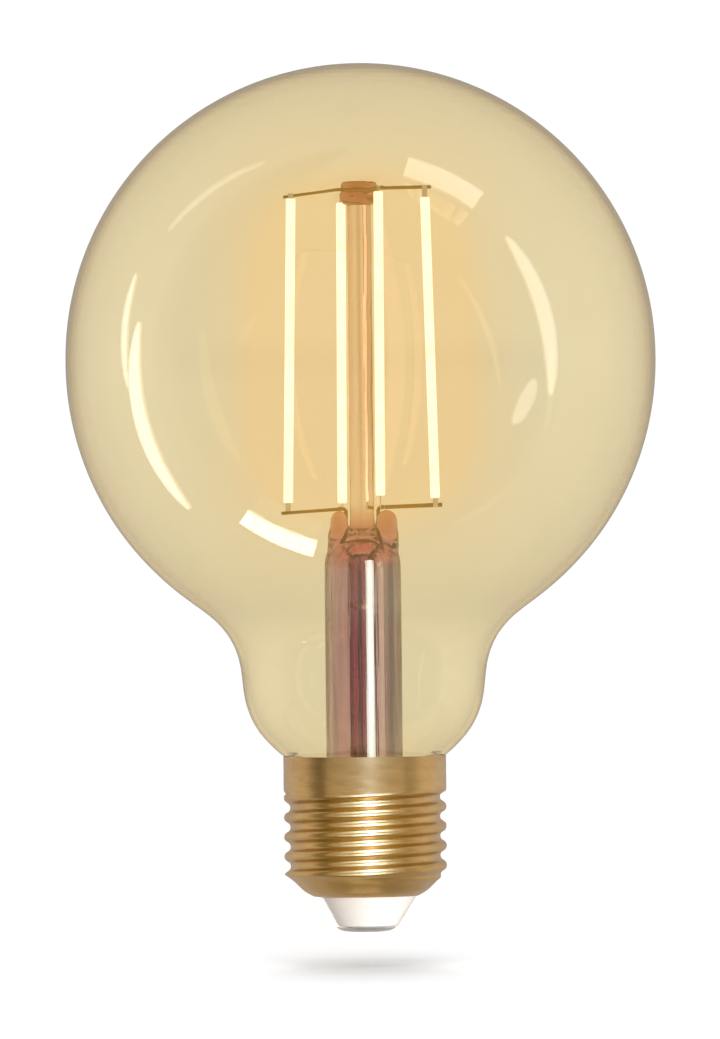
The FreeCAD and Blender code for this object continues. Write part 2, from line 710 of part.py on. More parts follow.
def main():
    glass, cement = envelope()
    stem = stem_body()
    tip = exhaust()
    centre = rod()
    tops = top_wires()
    lead = leads()
    branch = branches(lead)
    coats, tabs = filaments()

    # the button is melted round the support wires, the pinch round the leads
    for w in tops.values():
        centre = one(centre.cut(w))
    a = math.radians(BLOW_HOLE_DEG)
    hole = Part.makeCylinder(BLOW_HOLE_R, 9.0, V(0, 0, BLOW_HOLE_Z),
                             V(math.cos(a), math.sin(a), 0))
    stem = stem.cut(Part.makeCylinder(EXHAUST_R, 8.0, V(0, 0, EXHAUST_TOP - 8.0)))
    foot = Part.makeCylinder(ROD_FOOT_R, 4.0, V(0, 0, ROD_FOOT))
    stem = stem.cut(foot)
    for w in lead.values():
        stem = stem.cut(w)
    stem = one(stem.cut(hole))
    tip = one(tip.cut(hole))

    sleeves = [tube(LEAD_R + 0.01, SLEEVE_R, *SLEEVE_Z) for _ in (0, 1)]
    for s, sgn in zip(sleeves, (-1, 1)):
        s.translate(V(sgn * LEAD_STEM[0], sgn * LEAD_STEM[1], 0))

    metal, threaded = shell()
    cone = insulator()
    plate = contact()
    board, parts = driver()

    cement = one(cement.cut(parts["neutral_wire"]))

    # solder dots on the board
    dots = []
    yf, yb = BOARD[1], BOARD[1] + BOARD[4]
    for px, pz, back, cut in ((PAD_X, PAD_Z, False, lead["right"]),
                              (-PAD_X, PAD_Z, True, lead["left"]),
                              (-7.6, 15.6, False, parts["neutral_wire"]),
                              (0.0, 17.7, True, parts["fuse_leads"][1])):
        face = yb if back else yf
        ball = Part.makeSphere(0.75, V(px, face + (0.12 if back else -0.12), pz))
        ball = ball.common(block(px - 2, face if back else face - 2, pz - 2, 4, 2, 4))
        dots.append(one(ball.cut(cut)))

    save("glass_globe", glass)
    save("glass_stem", stem)
    save("exhaust_tube", tip)
    save("centre_rod", centre)
    save("top_wire_side", tops["side"])
    save("top_wire_depth", tops["depth"])
    save("lead_wire_left", lead["left"])
    save("lead_wire_right", lead["right"])
    save("branch_wire_back", branch["back"])
    save("branch_wire_front", branch["front"])
    for name, c in coats.items():
        save("filament_" + name, c)
    save("filament_tabs", tabs)
    save("lead_sleeves", sleeves)
    save("screw_shell", metal)
    save("cap_insulator", cone)
    save("centre_contact", plate)
    save("cap_cement", cement)
    save("driver_board", board)
    for name, p in parts.items():
        save(name, p)
    save("solder_joints", dots)


main()
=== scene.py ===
import json
import math

import bpy
import numpy as np
from mathutils import Matrix, Vector


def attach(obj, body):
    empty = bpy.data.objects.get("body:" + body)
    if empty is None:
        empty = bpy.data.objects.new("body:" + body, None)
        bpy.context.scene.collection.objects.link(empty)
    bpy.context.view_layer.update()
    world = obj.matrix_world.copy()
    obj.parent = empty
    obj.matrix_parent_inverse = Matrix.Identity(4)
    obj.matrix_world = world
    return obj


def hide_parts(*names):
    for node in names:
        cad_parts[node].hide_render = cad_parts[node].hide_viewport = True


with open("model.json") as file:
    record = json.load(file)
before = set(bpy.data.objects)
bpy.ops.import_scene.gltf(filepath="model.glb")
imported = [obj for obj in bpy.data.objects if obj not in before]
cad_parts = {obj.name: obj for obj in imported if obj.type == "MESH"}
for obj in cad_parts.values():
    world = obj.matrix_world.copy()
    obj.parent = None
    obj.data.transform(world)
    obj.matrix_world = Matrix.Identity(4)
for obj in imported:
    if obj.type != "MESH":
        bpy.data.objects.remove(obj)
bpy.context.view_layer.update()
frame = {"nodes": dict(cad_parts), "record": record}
NODES = frame["nodes"]
MM = 0.001

scene = bpy.context.scene
scene.unit_settings.system = "METRIC"


# ---------------------------------------------------------------- node helpers
class Mat:
    """A small builder for node materials."""

    def __init__(self, name):
        self.m = bpy.data.materials.new(name)
        self.m.use_nodes = True
        self.nt = self.m.node_tree
        self.p = next(n for n in self.nt.nodes if n.type == "BSDF_PRINCIPLED")
        self.out = next(n for n in self.nt.nodes if n.type == "OUTPUT_MATERIAL")

    def node(self, kind, **kw):
        n = self.nt.nodes.new(kind)
        for k, v in kw.items():
            setattr(n, k, v)
        return n

    def link(self, a, b):
        self.nt.links.new(a, b)

    def set(self, **kw):
        for k, v in kw.items():
            self.p.inputs[k.replace("_", " ")].default_value = v
        return self

    def coords(self):
        return self.node("ShaderNodeTexCoord").outputs["Object"]

    def mapped(self, scale=(1, 1, 1), loc=(0, 0, 0), rot=(0, 0, 0)):
        mp = self.node("ShaderNodeMapping")
        mp.inputs["Scale"].default_value = scale
        mp.inputs["Location"].default_value = loc
        mp.inputs["Rotation"].default_value = rot
        self.link(self.coords(), mp.inputs["Vector"])
        return mp.outputs["Vector"]

    def noise(self, scale, detail=3.0, rough=0.55, vec=None, dist=0.0):
        n = self.node("ShaderNodeTexNoise")
        n.inputs["Scale"].default_value = scale
        n.inputs["Detail"].default_value = detail
        n.inputs["Roughness"].default_value = rough
        n.inputs["Distortion"].default_value = dist
        self.link(vec if vec is not None else self.coords(), n.inputs["Vector"])
        return n.outputs["Fac"]

    def ramp(self, fac, stops, interp="LINEAR"):
        r = self.node("ShaderNodeValToRGB")
        r.color_ramp.interpolation = interp
        e = r.color_ramp.elements
        while len(e) < len(stops):
            e.new(0.5)
        for el, (pos, col) in zip(e, stops):
            el.position = pos
            el.color = tuple(col) + ((1.0,) if len(col) == 3 else ())
        self.link(fac, r.inputs["Fac"])
        return r.outputs["Color"]

    def range(self, fac, a0, a1, b0, b1):
        r = self.node("ShaderNodeMapRange")
        for k, v in zip(("From Min", "From Max", "To Min", "To Max"), (a0, a1, b0, b1)):
            r.inputs[k].default_value = v
        self.link(fac, r.inputs["Value"])
        return r.outputs["Result"]

    def mix(self, fac, a, b, mode="MIX"):
        x = self.node("ShaderNodeMix", data_type="RGBA", blend_type=mode)
        if isinstance(fac, (int, float)):
            x.inputs[0].default_value = fac
        else:
            self.link(fac, x.inputs[0])
        for k, v in ((6, a), (7, b)):
            if isinstance(v, tuple):
                x.inputs[k].default_value = v + ((1.0,) if len(v) == 3 else ())
            else:
                self.link(v, x.inputs[k])
        return x.outputs[2]

    def math(self, op, a, b=0.0):
        x = self.node("ShaderNodeMath", operation=op)
        for i, v in enumerate((a, b)):
            if isinstance(v, (int, float)):
                x.inputs[i].default_value = v
            else:
                self.link(v, x.inputs[i])
        return x.outputs[0]

    def bump(self, height, strength, distance):
        b = self.node("ShaderNodeBump")
        b.inputs["Strength"].default_value = strength
        b.inputs["Distance"].default_value = distance
        self.link(height, b.inputs["Height"])
        self.link(b.outputs["Normal"], self.p.inputs["Normal"])
        return b

    def absorb(self, color, density):
        v = self.node("ShaderNodeVolumeAbsorption")
        v.inputs["Color"].default_value = tuple(color) + (1.0,)
        v.inputs["Density"].default_value = density
        self.link(v.outputs["Volume"], self.out.inputs["Volume"])


def absorption(through, path_mm):
    """Volume colour and density that leave the given colour after a path."""
    sig = [-math.log(c) / (path_mm * MM) for c in through]
    d = max(sig) * 1.002
    return [1.0 - s / d for s in sig], d


# ---------------------------------------------------------------- materials
def clear_glass(name, through, path_mm, stretch, bump, coat=0.0):
    """Clear tinted glass with the faint draw lines of blown or pulled glass."""
    m = Mat(name)
    m.set(Base_Color=(1, 1, 1, 1), Roughness=0.0, IOR=1.5, Transmission_Weight=1.0)
    if coat:
        m.set(Coat_Weight=coat, Coat_Roughness=0.07, Coat_IOR=1.5)
    size, vec = stretch
    wave = m.noise(size, detail=2.0, rough=0.45, vec=m.mapped(scale=vec))
    m.bump(wave, *bump)
    m.absorb(*absorption(through, path_mm))
    return m.m


def amber_glass():
    return clear_glass("amber_glass", (0.786, 0.672, 0.410), 1.6, (16.0, (1, 1, 1)), (0.03, 0.002))


def stem_glass():
    """Drawn glass of the stem: mauve tube, brown where it is melted solid, nearly clear in the rod."""
    m = Mat("stem_glass")
    m.set(Roughness=0.0, IOR=1.5, Transmission_Weight=1.0)
    at = m.node("ShaderNodeSeparateXYZ")
    m.link(m.coords(), at.inputs["Vector"])
    melted = m.range(at.outputs["Z"], 0.0585, 0.0618, 0.0, 1.0)
    # only the middle is drawn out into the rod; the lobes beside it keep the melted tone
    middle = m.range(m.math("ABSOLUTE", at.outputs["X"]), 0.00212, 0.00235, 1.0, 0.0)
    pulled = m.math("MULTIPLY", m.range(at.outputs["Z"], 0.0652, 0.0690, 0.0, 1.0), middle)
    lines = m.noise(60.0, detail=3.0, rough=0.6, vec=m.mapped(scale=(12, 12, 0.3)))
    fine = m.noise(60.0, detail=2.0, rough=0.5, vec=m.mapped(scale=(22, 22, 0.25)))
    tube = m.ramp(lines, [(0.34, (0.69, 0.58, 0.67)), (0.5, (0.90, 0.80, 0.88)), (0.66, (1.0, 0.98, 1.0))])
    # lighter and darker lines painted by place across the tube as seen from the front: partly draw lines, partly
    # painted reflection and shade
    side = m.range(at.outputs["X"], -0.0062, 0.0062, 0.0, 1.0)
    tube_lines_and_painted_shade = m.ramp(side, [
        (0.0, (0.68, 0.61, 0.61)), (0.08, (0.72, 0.63, 0.635)), (0.2, (0.88, 0.785, 0.80)), (0.4, (0.88, 0.775, 0.79)),
        (0.6, (0.875, 0.78, 0.79)), (0.655, (1.0, 1.0, 1.0)), (0.79, (0.97, 0.97, 0.97)), (0.838, (0.45, 0.43, 0.43)),
        (0.90, (0.47, 0.45, 0.44)), (0.955, (0.61, 0.58, 0.58)), (1.0, (0.63, 0.60, 0.60))])
    tube = m.mix(1.0, tube, tube_lines_and_painted_shade, "MULTIPLY")
    solid = m.ramp(lines, [(0.3, (0.57, 0.275, 0.24)), (0.7, (0.72, 0.38, 0.345))])
    # paler where the glass thins over the end of the hollow
    thin = m.math("MULTIPLY", m.range(at.outputs["Z"], 0.0592, 0.0604, 0.0, 1.0),
                  m.range(at.outputs["Z"], 0.0624, 0.0642, 1.0, 0.0))
    solid = m.mix(thin, solid, m.ramp(lines, [(0.3, (0.76, 0.40, 0.40)), (0.7, (0.92, 0.52, 0.53))]))
    rod = m.ramp(fine, [(0.36, (0.93, 0.87, 0.80)), (0.5, (1.0, 0.96, 0.92)), (0.64, (1.0, 1.0, 0.98))])
    # pale and dark stripes painted by place across the front of the rod: partly draw lines, partly painted highlight
    # and shade
    rod_lines_and_painted_glints = m.ramp(m.range(at.outputs["X"], -0.0021, 0.0021, 0.0, 1.0), [
        (0.0, (0.70, 0.54, 0.48)), (0.15, (0.70, 0.54, 0.48)), (0.30, (1.0, 1.0, 1.0)), (0.48, (0.62, 0.46, 0.42)),
        (0.60, (1.0, 1.0, 1.0)), (0.66, (0.56, 0.40, 0.36)), (0.72, (0.40, 0.28, 0.24)), (0.79, (0.48, 0.36, 0.32)),
        (0.9, (0.60, 0.46, 0.42)), (1.0, (0.66, 0.50, 0.46))])
    # the painted stripes go on the front half of the rod only, weaker toward the foot
    facing = m.math("MULTIPLY", m.range(at.outputs["Y"], -0.0003, 0.0003, 1.0, 0.0),
                    m.range(at.outputs["Z"], 0.068, 0.084, 0.3, 1.0))
    rod = m.mix(facing, rod, m.mix(1.0, rod, rod_lines_and_painted_glints, "MULTIPLY"))
    m.link(m.mix(pulled, m.mix(melted, tube, solid), rod), m.p.inputs["Base Color"])
    m.bump(lines, 0.2, 0.0006)
    m.absorb(*absorption((0.98, 0.94, 0.93), 2.2))
    return m.m


def exhaust_glass():
    return clear_glass("exhaust_glass", (0.69, 0.365, 0.48), 1.7, (40.0, (18, 18, 0.5)), (0.2, 0.0005))


def button_glass():
    return clear_glass("rod_glass", (0.43, 0.15, 0.17), 5.0, (220.0, (1, 1, 1)), (0.3, 0.0008))


def filament_coat():
    m = Mat("filament_coat")
    grain = m.noise(900.0, detail=3.0, rough=0.6)
    m.link(m.ramp(grain, [(0.3, (0.95, 0.66, 0.22)), (0.7, (1.0, 0.78, 0.34))]),
           m.p.inputs["Base Color"])
    m.set(Roughness=0.6)
    chips = m.noise(520.0, detail=1.0, rough=0.4, vec=m.mapped(scale=(0.2, 0.2, 1.0)))
    m.link(m.ramp(chips, [(0.3, (1.0, 0.54, 0.47)), (0.7, (1.0, 0.61, 0.55))]),
           m.p.inputs["Emission Color"])
    m.p.inputs["Emission Strength"].default_value = 3.0
    m.bump(grain, 0.25, 0.0002)
    return m.m


def metal(name, dark, light, rough, scale=(1, 1, 1), size=300.0, spread=0.12, bump=0.05):
    m = Mat(name)
    n = m.noise(size, detail=4.0, rough=0.6, vec=m.mapped(scale=scale))
    m.link(m.ramp(n, [(0.3, dark), (0.7, light)]), m.p.inputs["Base Color"])
    m.link(m.range(n, 0.25, 0.75, rough - spread, rough + spread), m.p.inputs["Roughness"])
    m.set(Metallic=1.0)
    m.bump(n, bump, 0.0001)
    return m.m


def dull(name, dark, light, rough, size=400.0, bump=0.1, spec=0.5):
    m = Mat(name)
    n = m.noise(size, detail=4.0, rough=0.6)
    m.link(m.ramp(n, [(0.3, dark), (0.7, light)]), m.p.inputs["Base Color"])
    m.link(m.range(n, 0.25, 0.75, rough - 0.06, rough + 0.06), m.p.inputs["Roughness"])
    m.p.inputs["Specular IOR Level"].default_value = spec
    m.bump(n, bump, 0.0001)
    return m.m


def brass():
    m = Mat("cap_brass")
    fine = m.noise(260.0, detail=5.0, rough=0.62, vec=m.mapped(scale=(1, 1, 4)))
    cloud = m.noise(70.0, detail=3.0, rough=0.55)
    base = m.ramp(fine, [(0.28, (0.39, 0.22, 0.072)), (0.72, (0.48, 0.295, 0.108))])
    stain = m.ramp(cloud, [(0.42, (1.0, 1.0, 1.0)), (0.72, (0.82, 0.76, 0.68))])
    m.link(m.mix(0.7, base, stain, "MULTIPLY"), m.p.inputs["Base Color"])
    m.link(m.range(cloud, 0.3, 0.7, 0.22, 0.30), m.p.inputs["Roughness"])
    m.set(Metallic=1.0, Coat_Weight=0.25, Coat_Roughness=0.18, Coat_IOR=1.5)
    m.bump(fine, 0.02, 0.00006)
    return m.m


def insulator():
    m = Mat("insulator")
    n = m.noise(120.0, detail=4.0, rough=0.55)
    m.link(m.ramp(n, [(0.3, (0.86, 0.80, 0.75)), (0.7, (0.93, 0.885, 0.845))]),
           m.p.inputs["Base Color"])
    m.link(m.range(n, 0.3, 0.7, 0.16, 0.26), m.p.inputs["Roughness"])
    m.p.inputs["Subsurface Weight"].default_value = 0.0
    m.bump(n, 0.05, 0.0002)
    return m.m


def sleeve():
    m = Mat("sleeve")
    weave = m.node("ShaderNodeTexWave", wave_type="BANDS", bands_direction="Z")
    weave.inputs["Scale"].default_value = 900.0
    weave.inputs["Distortion"].default_value = 1.5
    m.link(m.coords(), weave.inputs["Vector"])
    m.link(m.ramp(weave.outputs["Fac"], [(0.2, (0.93, 0.92, 0.90)), (0.8, (0.98, 0.98, 0.97))]),
           m.p.inputs["Base Color"])
    m.set(Roughness=0.5)
    m.bump(weave.outputs["Fac"], 0.1, 0.0001)
    return m.m


def board():
    m = Mat("board")
    n = m.noise(500.0, detail=3.0)
    tr = m.node("ShaderNodeTexVoronoi", feature="DISTANCE_TO_EDGE")
    tr.inputs["Scale"].default_value = 260.0
    m.link(m.coords(), tr.inputs["Vector"])
    base = m.ramp(n, [(0.3, (0.045, 0.17, 0.075)), (0.7, (0.06, 0.22, 0.10))])
    track = m.ramp(tr.outputs["Distance"], [(0.02, (0.10, 0.32, 0.15)), (0.06, (0.05, 0.19, 0.085))])
    m.link(m.mix(0.5, base, track), m.p.inputs["Base Color"])
    m.set(Roughness=0.4)
    m.bump(tr.outputs["Distance"], 0.1, 0.0001)
    return m.m


MATS = {
    "amber_glass": amber_glass(),
    "stem_glass": stem_glass(),
    "exhaust_glass": exhaust_glass(),
    "rod_glass": button_glass(),
    "filament_coat": filament_coat(),
    "support_wire": metal("support_wire", (0.14, 0.105, 0.055), (0.25, 0.20, 0.115), 0.42,
                          size=700.0),
    "lead_wire": metal("lead_wire", (0.19, 0.125, 0.06), (0.31, 0.22, 0.12), 0.42, size=700.0),
    "tab_metal": dull("tab_metal", (0.66, 0.58, 0.42), (0.80, 0.73, 0.56), 0.4, size=900.0),
    "sleeve": sleeve(),
    "cap_brass": brass(),
    "insulator": insulator(),
    "contact_metal": metal("contact_metal", (0.50, 0.49, 0.48), (0.70, 0.69, 0.68), 0.34,
                           size=500.0),
    "cement": dull("cement", (0.76, 0.69, 0.55), (0.88, 0.82, 0.69), 0.85, size=900.0, bump=0.5),
    "board": board(),
    "chip_body": dull("chip_body", (0.018, 0.018, 0.02), (0.035, 0.035, 0.04), 0.55, size=1500.0),
    "can_metal": dull("can_metal", (0.02, 0.022, 0.035), (0.04, 0.045, 0.065), 0.3, size=200.0),
    "coil_copper": metal("coil_copper", (0.36, 0.14, 0.05), (0.60, 0.27, 0.11), 0.3, size=1200.0),
    "resistor_body": dull("resistor_body", (0.015, 0.015, 0.015), (0.05, 0.05, 0.05), 0.4),
    "fuse_body": dull("fuse_body", (0.12, 0.20, 0.15), (0.18, 0.28, 0.21), 0.35),
    "solder": metal("solder", (0.55, 0.55, 0.56), (0.75, 0.75, 0.76), 0.25, size=1200.0),
}
SLOT_OF = {s["node"]: s["material_slot"] for s in frame["record"]["subparts"]}

for name, obj in NODES.items():
    slot = SLOT_OF[name]
    key = "exhaust_glass" if name == "exhaust_tube" else slot
    obj.data.materials.clear()
    obj.data.materials.append(MATS[key])


# ---------------------------------------------------------------- turned glass
def lathe(name, rings, seg, ripple=None):
    """Closed mesh turned about Z from a loop of (r, z) in mm; r = 0 at the loop's two ends."""
    verts, faces = [], []
    index = []
    for r, z in rings:
        if r < 1e-6:
            index.append([len(verts)])
            verts.append((0, 0, z * MM))
        else:
            row = []
            for i in range(seg):
                a = 2 * math.pi * i / seg
                row.append(len(verts))
                q = r + (ripple(a, z) if ripple else 0.0)
                verts.append((q * math.cos(a) * MM, q * math.sin(a) * MM, z * MM))
            index.append(row)
    for a, b in zip(index, index[1:]):
        for i in range(seg):
            j = (i + 1) % seg
            if len(a) == 1 and len(b) == 1:
                continue
            if len(a) == 1:
                faces.append((a[0], b[i], b[j]))
            elif len(b) == 1:
                faces.append((a[i], b[0], a[j]))
            else:
                faces.append((a[i], b[i], b[j], a[j]))
    me = bpy.data.meshes.new(name)
    me.from_pydata(verts, [], faces)
    me.polygons.foreach_set("use_smooth", [True] * len(me.polygons))
    me.update()
    o = bpy.data.objects.new(name, me)
    scene.collection.objects.link(o)
    return o


def arc_pts(c, r, a0, a1, n):
    return [(c[0] + r * math.cos(math.radians(a0 + (a1 - a0) * i / n)),
             c[1] + r * math.sin(math.radians(a0 + (a1 - a0) * i / n))) for i in range(n + 1)]


def globe_profile():
    R, ZC, WALL = 47.5, 92.3, 0.8
    NR, NZ0, NZ1, BR, CR, CF, SEAL = 19.55, 40.0, 41.0, 13.5, 11.6, 1.5, 24.2
    ZL = ZC - 0.5
    k = ZL - NZ1
    fr = (NR ** 2 + k ** 2 - R ** 2) / (2 * (R - NR))
    fc = (NR + fr, NZ1)
    a_s = math.degrees(math.atan2(fc[1] - ZL, fc[0]))
    bc = (NR - BR, NZ0)
    cx = CR + CF
    cc = (cx, bc[1] - math.sqrt((BR + CF) ** 2 - (cx - bc[0]) ** 2))
    a_b = math.degrees(math.atan2(cc[1] - bc[1], cc[0] - bc[0]))

    def side(t):
        p = arc_pts((0, ZC), R - t, 90, 0, 58)
        p[0] = (0.0, ZC + R - t)
        p += arc_pts((0, ZL), R - t, 0, a_s, 38)
        p += arc_pts(fc, fr + t, a_s + 180, 180, 18)[1:]
        p += arc_pts(bc, BR - t, 0, a_b, 24)
        p += arc_pts(cc, CF + t, a_b + 180, 180, 8)[1:]
        p += [(CR - t, SEAL)]
        return ease(p)
    return side(0.0) + list(reversed(side(WALL)))


def ease(p, sigma=2.2, step=0.85):
    """Runs the curvature of a profile together below the globe, without a jump at the joins."""
    q = np.array(p)
    run = np.concatenate([[0.0], np.cumsum(np.linalg.norm(np.diff(q, axis=0), axis=1))])
    n = int(run[-1] / step) + 1
    u = np.linspace(0.0, run[-1], n)
    even = np.stack([np.interp(u, run, q[:, k]) for k in (0, 1)], 1)
    h = u[1]
    k = np.arange(-int(4 * sigma / h), int(4 * sigma / h) + 1) * h
    w = np.exp(-0.5 * (k / sigma) ** 2)
    w /= w.sum()
    pad = len(k) // 2
    head = 2 * even[0] - even[pad:0:-1]
    tail = 2 * even[-1] - even[-2:-pad - 2:-1]
    full = np.concatenate([head, even, tail])
    run_on = np.stack([np.convolve(full[:, c], w, "valid") for c in (0, 1)], 1)
    blend = np.clip((66.0 - even[:, 1]) / 8.0, 0.0, 1.0) * np.clip((even[:, 1] - 27.0) / 3.0, 0.0, 1.0)
    out = even + (run_on - even) * blend[:, None]
    return [(float(r), float(z)) for r, z in out]


def piece(obj, mat, slot, *nodes):
    obj.data.materials.append(MATS[mat])
    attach(obj, "root")
    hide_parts(*nodes)
    return obj


globe = piece(lathe("amber_globe", globe_profile(), 256), "amber_glass", "amber_glass",
              "glass_globe")


# ---------------------------------------------------------------- melted glass of the stem
def through(table, z):
    """Monotone cubic through rows of (z, v)."""
    t = np.asarray(table, float)
    x, v = t[:, 0], t[:, 1]
    d = np.diff(v) / np.diff(x)
    m = np.zeros(len(x))
    m[0], m[-1] = d[0], d[-1]
    same = d[:-1] * d[1:] > 0
    m[1:-1][same] = 2 * d[:-1][same] * d[1:][same] / (d[:-1][same] + d[1:][same])
    z = np.clip(z, x[0], x[-1])
    i = np.clip(np.searchsorted(x, z, side="right") - 1, 0, len(x) - 2)
    h = x[i + 1] - x[i]
    u = (z - x[i]) / h
    return ((2 * u ** 3 - 3 * u ** 2 + 1) * v[i] + (u ** 3 - 2 * u ** 2 + u) * h * m[i]
            + (-2 * u ** 3 + 3 * u ** 2) * v[i + 1] + (u ** 3 - u ** 2) * h * m[i + 1])


def smin(a, b, k):
    h = np.clip(0.5 + 0.5 * (b - a) / k, 0.0, 1.0)
    return b * (1 - h) + a * h - k * h * (1 - h)


def smax(a, b, k):
    return -smin(-a, -b, k)


def oval(x, y, a, b, n):
    q = (np.abs(x) / a) ** n + (np.abs(y) / b) ** n
    return (q ** (1.0 / n) - 1.0) * np.minimum(a, b)


PINCH = [(57.0, 6.13, 6.13, 2.0), (59.0, 6.11, 6.03, 2.0), (60.2, 5.97, 5.45, 2.1),
         (61.4, 5.62, 4.50, 2.3), (62.6, 5.42, 3.50, 2.5), (63.9, 5.30, 2.65, 2.5),
         (64.9, 4.60, 2.05, 2.2)]
CAVE = [(57.0, 5.05, 5.05, 2.0), (58.9, 4.98, 4.90, 2.0), (60.0, 4.72, 4.10, 2.0),
        (61.0, 4.05, 3.00, 2.0), (61.8, 3.05, 1.95, 2.0), (62.5, 1.80, 1.05, 2.0), (63.0, 0.80, 0.50, 2.0)]
LOBES = ((-3.70, 1.42, 2.15, 67.75), (3.92, 1.72, 2.25, 67.85))
LOBE_FOOT = 60.6
ROD_R, ROD_FOOT, ROD_TOP = 2.0, 62.9, 116.93


def stem_field(p):
    x, y, z = p[..., 0], p[..., 1], p[..., 2]
    r = np.sqrt(x * x + y * y)

    def loft(table):
        return [through([(row[0], row[k]) for row in table], z) for k in (1, 2, 3)]

    # tube and flare outside
    dz = np.clip(28.2 - z, 0.0, 3.007)
    ro = 6.15 + 3.2 - np.sqrt(3.2 ** 2 - dz ** 2)
    ro = np.where(z < 25.193, 8.2555 + (25.193 - z) * (10.8 - 8.2555) / 0.993, ro)
    ro = np.minimum(ro, 11.55)
    dz = np.clip(28.2 - z, 0.0, 4.041)
    ri = 9.35 - np.sqrt(4.3 ** 2 - dz ** 2)
    ri = np.where(z < 24.159, 7.879 + (24.159 - z) * 2.7475, ri)
    body = np.where(z > 57.0, oval(x, y, *loft(PINCH)), r - ro)
    body = smax(body, z - 64.75, 0.8)
    for lx, w, d, top in LOBES:
        up = np.maximum(z - (top - 2.0), 0.0) / 2.0
        dn = np.maximum(LOBE_FOOT + 1.5 - z, 0.0) / 1.5
        q = ((x - lx) / w) ** 2 + (y / d) ** 2 + up ** 2 + dn ** 2
        body = smin(body, (np.sqrt(q) - 1.0) * w, 0.9)
    cave = np.where(z > 57.0, oval(x, y, *loft(CAVE)), r - ri)
    cave = smax(cave, z - 62.8, 0.6)
    body = smax(body, -cave, 0.25)
    turn = np.arctan2(y, x)
    rr = (ROD_R - 0.03 - 0.04 * np.clip((z - 66.0) / 4.0, 0.0, 1.0) + 0.022 * np.sin(0.41 * z + 0.8)
          + 0.016 * np.sin(0.93 * z) + 0.02 * np.cos(3 * turn + 0.07 * z))
    shaft = np.maximum(np.maximum(r - rr, z - ROD_TOP), ROD_FOOT - z)
    body = smin(body, shaft, 0.45)
    c, s = math.cos(math.radians(60.0)), math.sin(math.radians(60.0))
    run = x * c + y * s
    hole = np.sqrt((x * s - y * c) ** 2 + (z - 59.7) ** 2) - 0.8
    body = smax(body, -np.maximum(hole, -run), 0.12)
    return np.maximum(body, 23.15 - z)


def field_mesh(name, field, lo, hi, h, slim):
    """Surface of a field, one vertex to a cell, drawn on to the surface along the slope.

    Above slim[0] only the middle, slim[1] to each side, holds anything.
    """
    ax = [np.arange(a, b + h, h) for a, b in zip(lo, hi)]
    val = np.ones([len(a) for a in ax], np.float32)
    core = [np.flatnonzero(np.abs(a) < slim[1]) for a in ax[:2]]
    for k, z in enumerate(ax[2]):
        i, j = core if z > slim[0] else (np.arange(len(ax[0])), np.arange(len(ax[1])))
        gx, gy = np.meshgrid(ax[0][i], ax[1][j], indexing="ij")
        val[i[0]:i[-1] + 1, j[0]:j[-1] + 1, k] = field(np.stack([gx, gy, np.full_like(gx, z)], -1))
    neg = val < 0
    cell = np.zeros([n - 1 for n in val.shape], np.int8)
    for i in (0, 1):
        for j in (0, 1):
            for k in (0, 1):
                cell += neg[i:i + cell.shape[0], j:j + cell.shape[1], k:k + cell.shape[2]]
    mixed = (cell > 0) & (cell < 8)
    ids = np.full(mixed.shape, -1, np.int64)
    where = np.argwhere(mixed)
    ids[mixed] = np.arange(len(where))
    pos = np.array(lo) + (where + 0.5) * h

    def slope(q, e=0.01):
        g = np.empty_like(q)
        for a in range(3):
            d = np.zeros(3)
            d[a] = e
            g[:, a] = (field(q + d) - field(q - d)) / (2 * e)
        return g

    for _ in range(6):
        g = slope(pos)
        f = field(pos)
        step = (f / np.maximum((g * g).sum(1), 1e-6))[:, None] * g
        far = np.linalg.norm(step, axis=1, keepdims=True)
        pos = pos - step * np.minimum(1.0, 0.5 * h / np.maximum(far, 1e-9))
    g = slope(pos)
    normals = g / np.maximum(np.linalg.norm(g, axis=1, keepdims=True), 1e-9)
    faces = []
    for axis in range(3):
        a0 = np.take(neg, range(neg.shape[axis] - 1), axis)
        a1 = np.take(neg, range(1, neg.shape[axis]), axis)
        for idx in np.argwhere(a0 != a1):
            u, v = [b for b in range(3) if b != axis]
            if idx[u] == 0 or idx[v] == 0 or idx[u] >= ids.shape[u] or idx[v] >= ids.shape[v]:
                continue
            quad = []
            for du, dv in ((-1, -1), (0, -1), (0, 0), (-1, 0)):
                c = idx.copy()
                c[u] += du
                c[v] += dv
                quad.append(int(ids[tuple(c)]))
            if a0[tuple(idx)] != (axis == 1):
                quad.reverse()
            faces.append(quad[::-1])
    me = bpy.data.meshes.new(name)
    me.from_pydata((pos * MM).tolist(), [], faces)
    me.polygons.foreach_set("use_smooth", [True] * len(me.polygons))
    me.update()
    me.normals_split_custom_set_from_vertices(normals.tolist())
    o = bpy.data.objects.new(name, me)
    scene.collection.objects.link(o)
    return o


stem = piece(field_mesh("stem_and_rod", stem_field, (-12.1, -12.1, 22.8), (12.1, 12.1, 117.4), 0.245,
                        (69.5, 3.0)), "stem_glass", "stem_glass", "glass_stem", "centre_rod")


def exhaust_profile():
    z = 25.5
    out = [(0.0, z), (0.45, z + 0.2), (0.85, z + 0.42), (1.2, z + 0.7), (1.65, z + 1.05),
           (2.0, z + 1.5), (2.18, z + 1.9), (2.25, z + 2.3)]
    out += [(2.25, z + 2.3 + 1.1 * i) for i in range(1, 30)] + [(2.25, 60.6)]
    inn = [(1.4, 60.6)] + [(1.4, 60.6 - 1.05 * i) for i in range(1, 28)]
    inn += [(1.4, 30.5), (1.4, z + 2.7), (1.25, z + 2.2), (0.95, z + 1.75), (0.55, z + 1.4), (0.0, z + 1.15)]
    return out + inn


tip = piece(lathe("pumping_tube", list(reversed(exhaust_profile())), 64), "exhaust_glass",
            "stem_glass", "exhaust_tube")


